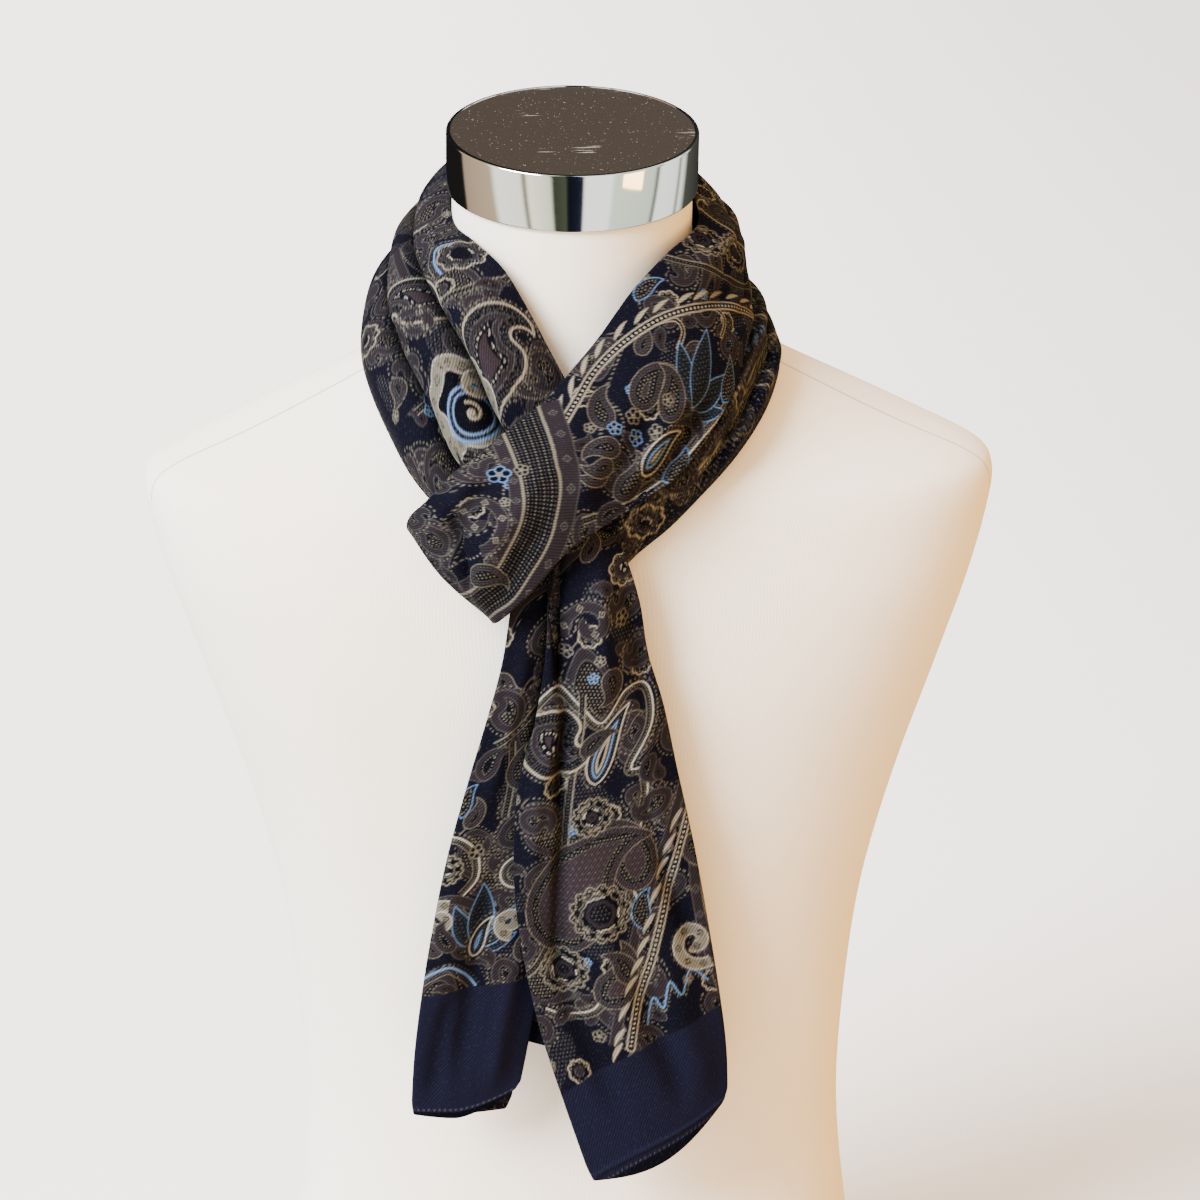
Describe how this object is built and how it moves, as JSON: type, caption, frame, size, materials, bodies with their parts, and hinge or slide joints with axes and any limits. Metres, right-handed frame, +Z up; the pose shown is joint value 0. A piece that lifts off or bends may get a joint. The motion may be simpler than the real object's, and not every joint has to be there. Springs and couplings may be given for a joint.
{
  "type": "wool scarf on a dress form",
  "caption": "Lightweight printed wool scarf knotted round the neck of a limbless dress form, with two hanging tails; stands on the form's flat base.",
  "frame": {"origin": "middle of the dress form's flat base", "axes": "+Z up, -Y towards the viewer, on whose side the knot is, +X to the viewer's right"},
  "size_m": [0.4462, 0.266, 0.704],
  "materials": {
    "wool": "fine printed twill with a soft sheen",
    "jersey": "matt white knit, stretched over the form",
    "cap": "polished side, dull top"
  },
  "bodies": {
    "root": {"collar_back": "wool", "collar_left": "wool", "front_band": "wool", "under_band": "wool", "tail_right": "wool", "tail_inner": "wool", "tail_left": "wool", "dress_form": "jersey", "neck_cap": "cap"}
  },
  "joints": []
}
